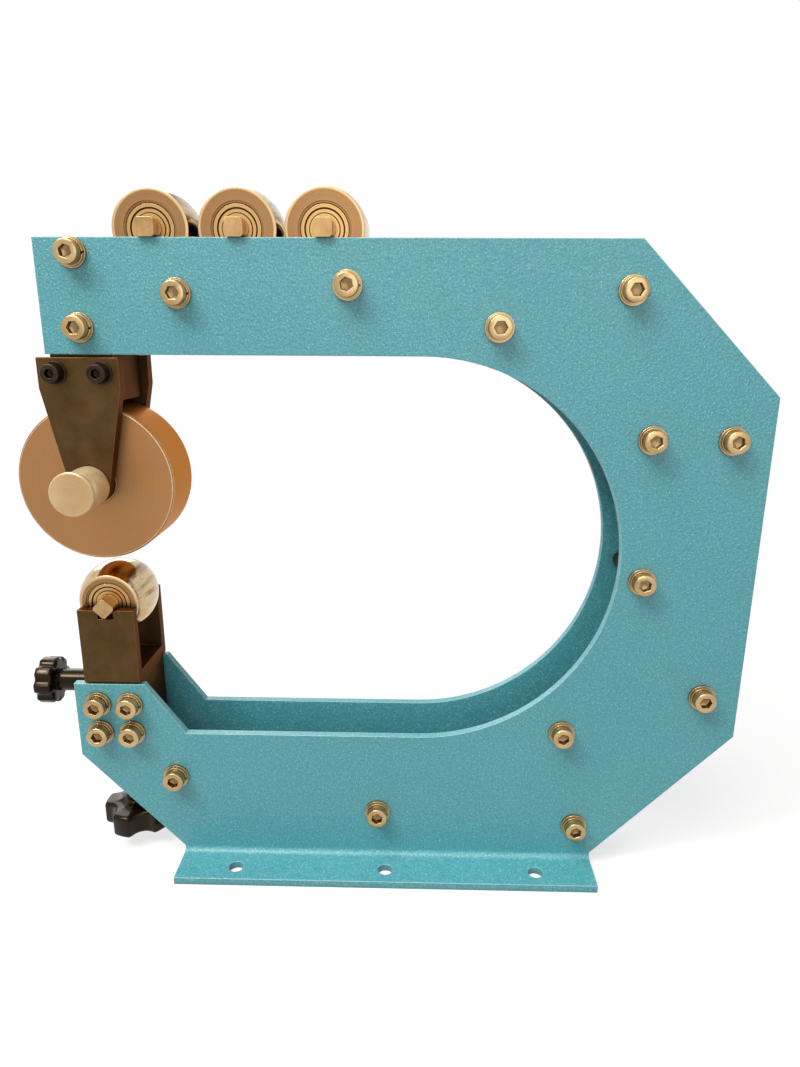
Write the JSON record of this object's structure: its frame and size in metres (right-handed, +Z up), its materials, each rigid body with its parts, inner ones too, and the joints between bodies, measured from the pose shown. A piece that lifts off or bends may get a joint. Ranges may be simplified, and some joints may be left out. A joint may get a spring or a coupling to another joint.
{
  "type": "english wheel",
  "caption": "Bench english wheel: bolted C-frame of flanged side plates, flat upper wheel in a fork, crowned lower anvil on a screw-lifted yoke, spare anvils on the arm.",
  "frame": {"origin": "centre of the base bolts, on the underside of the base flanges", "axes": "+X from the wheels along the throat to the back column, +Y across the plates towards the nut side, +Z up"},
  "size_m": [0.555, 0.128, 0.5164],
  "materials": {
    "plate_paint": "satin teal paint with a fine orange-peel texture",
    "dark_steel": "blackened steel with a thin film of oil",
    "spacer_black": "black",
    "yellow_zinc": "yellow passivated zinc",
    "black_oxide": "black oxide",
    "pin_steel": "turned and plated",
    "plain_steel": "plain turned or ground steel",
    "wheel_steel": "turned faces and a ground tread",
    "axle_steel": "milled and plated",
    "polished_steel": "polished",
    "bearing_steel": "ground bearing steel",
    "knob_plastic": "moulded black plastic",
    "pad_brass": "plain brass"
  },
  "bodies": {
    "frame": {"front_plate": "plate_paint", "rear_plate": "plate_paint", "spacer_tubes": "spacer_black", "frame_bolts": "yellow_zinc", "spring_washers": "yellow_zinc", "flat_washers": "yellow_zinc", "frame_nuts": "yellow_zinc", "head_block": "dark_steel", "front_fork_plate": "dark_steel", "rear_fork_plate": "dark_steel", "fork_screws": "black_oxide", "fork_washers": "black_oxide", "axle_pin": "pin_steel", "pin_clip": "black_oxide", "axle_sleeve": "plain_steel", "wheel_inner_rings": "bearing_steel", "guide_block": "dark_steel", "guide_screws": "yellow_zinc", "nut_plate": "dark_steel", "nut_plate_screws": "black_oxide"},
    "upper_wheel": {"upper_wheel": "wheel_steel", "wheel_outer_rings": "bearing_steel", "wheel_balls": "bearing_steel"},
    "slide_post": {"slide_post": "plain_steel", "swivel_pins": "plain_steel", "anvil_yoke": "dark_steel", "yoke_screw": "black_oxide", "anvil_axle": "axle_steel", "anvil_inner_rings": "bearing_steel"},
    "lower_anvil": {"anvil_roller": "polished_steel", "anvil_outer_rings": "bearing_steel", "anvil_balls": "bearing_steel"},
    "adjuster": {"adjuster_screw": "plain_steel", "star_handle": "knob_plastic", "star_insert": "plain_steel"},
    "lock_pad": {"lock_pad": "pad_brass"},
    "lock_knob": {"lock_stud": "plain_steel", "lock_knob": "knob_plastic"},
    "spare_axle_1": {"spare_axle_1": "axle_steel", "spare_inner_rings_1": "bearing_steel"},
    "spare_anvil_1": {"spare_roller_1": "polished_steel", "spare_outer_rings_1": "bearing_steel", "spare_balls_1": "bearing_steel"},
    "spare_axle_2": {"spare_axle_2": "axle_steel", "spare_inner_rings_2": "bearing_steel"},
    "spare_anvil_2": {"spare_roller_2": "polished_steel", "spare_outer_rings_2": "bearing_steel", "spare_balls_2": "bearing_steel"},
    "spare_axle_3": {"spare_axle_3": "axle_steel", "spare_inner_rings_3": "bearing_steel"},
    "spare_anvil_3": {"spare_roller_3": "polished_steel", "spare_outer_rings_3": "bearing_steel", "spare_balls_3": "bearing_steel"}
  },
  "joints": [
    {"name": "upper_wheel_spin", "type": "hinge", "parent": "frame", "child": "upper_wheel", "pos_m": [-0.2135, 0, 0.31392], "axis": [0, 1, 0], "continuous": true},
    {"name": "post_lift", "type": "slide", "parent": "frame", "child": "slide_post", "axis": [0, 0, 1], "range_m": [0, 0.008]},
    {"name": "adjuster_turn", "type": "hinge", "parent": "slide_post", "child": "adjuster", "pos_m": [-0.2135, 0, 0.104], "axis": [0, 0, 1], "range_deg": [0, 1440]},
    {"name": "anvil_spin", "type": "hinge", "parent": "slide_post", "child": "lower_anvil", "pos_m": [-0.2135, 0, 0.21942], "axis": [0, 1, 0], "continuous": true},
    {"name": "lock_slide", "type": "slide", "parent": "frame", "child": "lock_pad", "axis": [1, 0, 0], "range_m": [-0.004, 0]},
    {"name": "lock_turn", "type": "hinge", "parent": "lock_pad", "child": "lock_knob", "pos_m": [-0.2311, 0, 0.144], "axis": [1, 0, 0], "range_deg": [-960, 0]},
    {"name": "spare_lift_1", "type": "slide", "parent": "frame", "child": "spare_axle_1", "axis": [0, 0, 1], "range_m": [0, 0.06]},
    {"name": "spare_spin_1", "type": "hinge", "parent": "spare_axle_1", "child": "spare_anvil_1", "pos_m": [-0.159, 0, 0.48795], "axis": [0, 1, 0], "continuous": true},
    {"name": "spare_lift_2", "type": "slide", "parent": "frame", "child": "spare_axle_2", "axis": [0, 0, 1], "range_m": [0, 0.06]},
    {"name": "spare_spin_2", "type": "hinge", "parent": "spare_axle_2", "child": "spare_anvil_2", "pos_m": [-0.1003, 0, 0.48795], "axis": [0, 1, 0], "continuous": true},
    {"name": "spare_lift_3", "type": "slide", "parent": "frame", "child": "spare_axle_3", "axis": [0, 0, 1], "range_m": [0, 0.06]},
    {"name": "spare_spin_3", "type": "hinge", "parent": "spare_axle_3", "child": "spare_anvil_3", "pos_m": [-0.0416, 0, 0.48795], "axis": [0, 1, 0], "continuous": true}
  ],
  "couplings": [
    {"joint": "adjuster_turn", "follows": "post_lift", "rad_per_m": 3141.6},
    {"joint": "lock_turn", "follows": "lock_slide", "rad_per_m": 4188.8}
  ]
}
